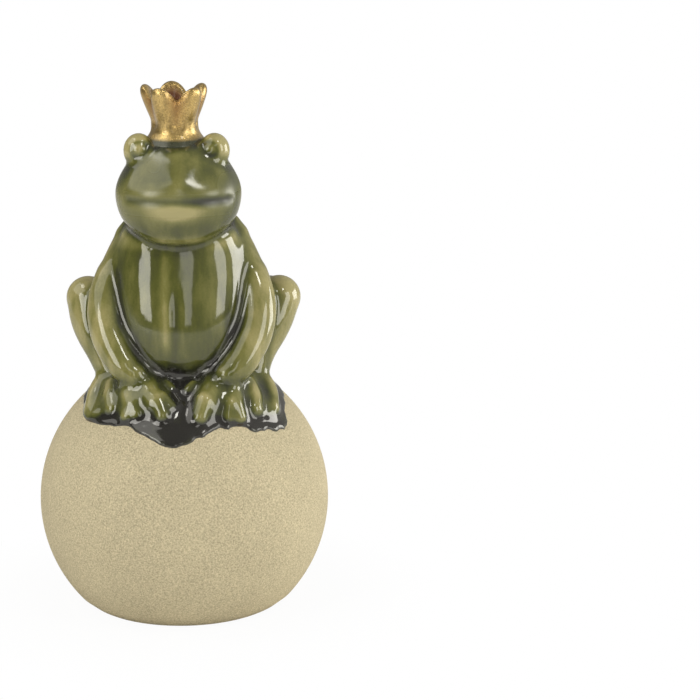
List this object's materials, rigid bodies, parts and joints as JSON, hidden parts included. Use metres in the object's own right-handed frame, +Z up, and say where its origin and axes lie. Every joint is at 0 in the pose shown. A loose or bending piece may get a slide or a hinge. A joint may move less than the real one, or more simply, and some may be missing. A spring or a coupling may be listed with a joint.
{
  "type": "frog figurine on ball",
  "caption": "Glossy green glazed frog with a small golden crown, squatting with both hands on a rough sand-coloured ball that stands on a flat foot.",
  "frame": {"origin": "centre of the ball's flat foot, on the surface it stands on", "axes": "+Z up, the frog faces -Y, +X towards the frog's own left side"},
  "size_m": [0.1, 0.1, 0.1804],
  "materials": {
    "bare_stoneware": "unglazed, fine sandy grain, matt",
    "green_glaze": "glossy translucent olive glaze, pale on ridges, near black where it pools",
    "dark_glaze": "thick pooled glaze, near black, glossy with a ragged edge",
    "gold_lustre": "fired gold lustre, slightly grainy, satin gloss"
  },
  "bodies": {
    "root": {"ball_base": "bare_stoneware", "glaze_pool": "dark_glaze", "torso": "green_glaze", "head": "green_glaze", "crown": "gold_lustre", "left_eye": "green_glaze", "right_eye": "green_glaze", "left_arm": "green_glaze", "right_arm": "green_glaze", "left_hand": "green_glaze", "right_hand": "green_glaze", "left_thigh": "green_glaze", "right_thigh": "green_glaze", "left_shin": "green_glaze", "right_shin": "green_glaze", "left_foot": "green_glaze", "right_foot": "green_glaze"}
  },
  "joints": []
}
